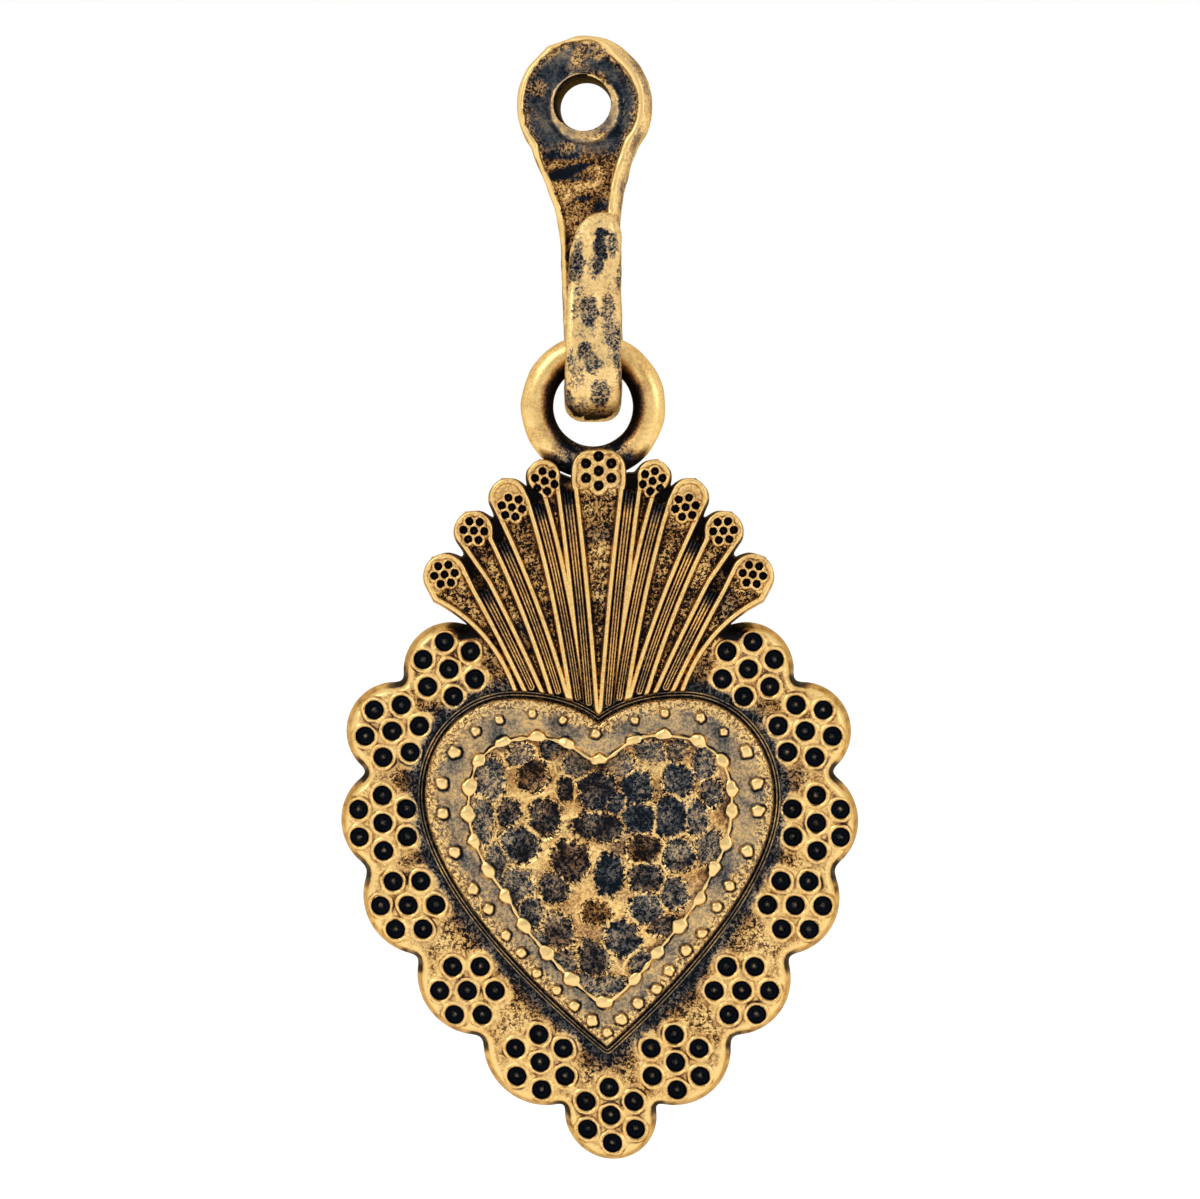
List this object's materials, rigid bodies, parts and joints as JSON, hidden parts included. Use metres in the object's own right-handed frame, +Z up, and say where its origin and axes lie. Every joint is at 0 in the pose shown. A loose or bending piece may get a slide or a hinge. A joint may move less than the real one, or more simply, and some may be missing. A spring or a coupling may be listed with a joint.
{
  "type": "sacred heart talisman",
  "caption": "Flat flaming-heart pendant in aged bronze with a scalloped dimpled border, swinging by its ring on a hooked bail with an eye.",
  "frame": {"origin": "centre of the bail's eye hole, half-way through its thickness", "axes": "+Z up through the bail, +X to the right seen from the front, front face towards -Y"},
  "size_m": [0.0259, 0.0055, 0.0563],
  "materials": {
    "bright_bronze": "cast bronze, high parts rubbed back to bright metal over a dark patina",
    "aged_bronze": "cast bronze, brown patina rubbed back on the high parts",
    "blackened_bronze": "hammered bronze, blue-black patina in the hollows, bright ridges"
  },
  "bodies": {
    "bail": {"bail": "bright_bronze"},
    "pendant": {"suspension_ring": "bright_bronze", "scalloped_plate": "aged_bronze", "flame_centre": "bright_bronze", "flame_right_1": "bright_bronze", "flame_right_2": "bright_bronze", "flame_right_3": "bright_bronze", "flame_right_4": "bright_bronze", "flame_left_1": "bright_bronze", "flame_left_2": "bright_bronze", "flame_left_3": "bright_bronze", "flame_left_4": "bright_bronze", "rib_right_1": "aged_bronze", "rib_right_2": "aged_bronze", "rib_right_3": "aged_bronze", "rib_right_4": "aged_bronze", "rib_left_1": "aged_bronze", "rib_left_2": "aged_bronze", "rib_left_3": "aged_bronze", "rib_left_4": "aged_bronze", "heart_edge_wire": "aged_bronze", "heart_border": "aged_bronze", "heart_beaded_wire": "bright_bronze", "heart_dome": "blackened_bronze"}
  },
  "joints": [
    {"name": "pendant_swing", "type": "hinge", "parent": "bail", "child": "pendant", "pos_m": [0.00042, -0.00193, -0.0125], "axis": [1, 0, 0], "range_deg": [-140, 130]}
  ]
}
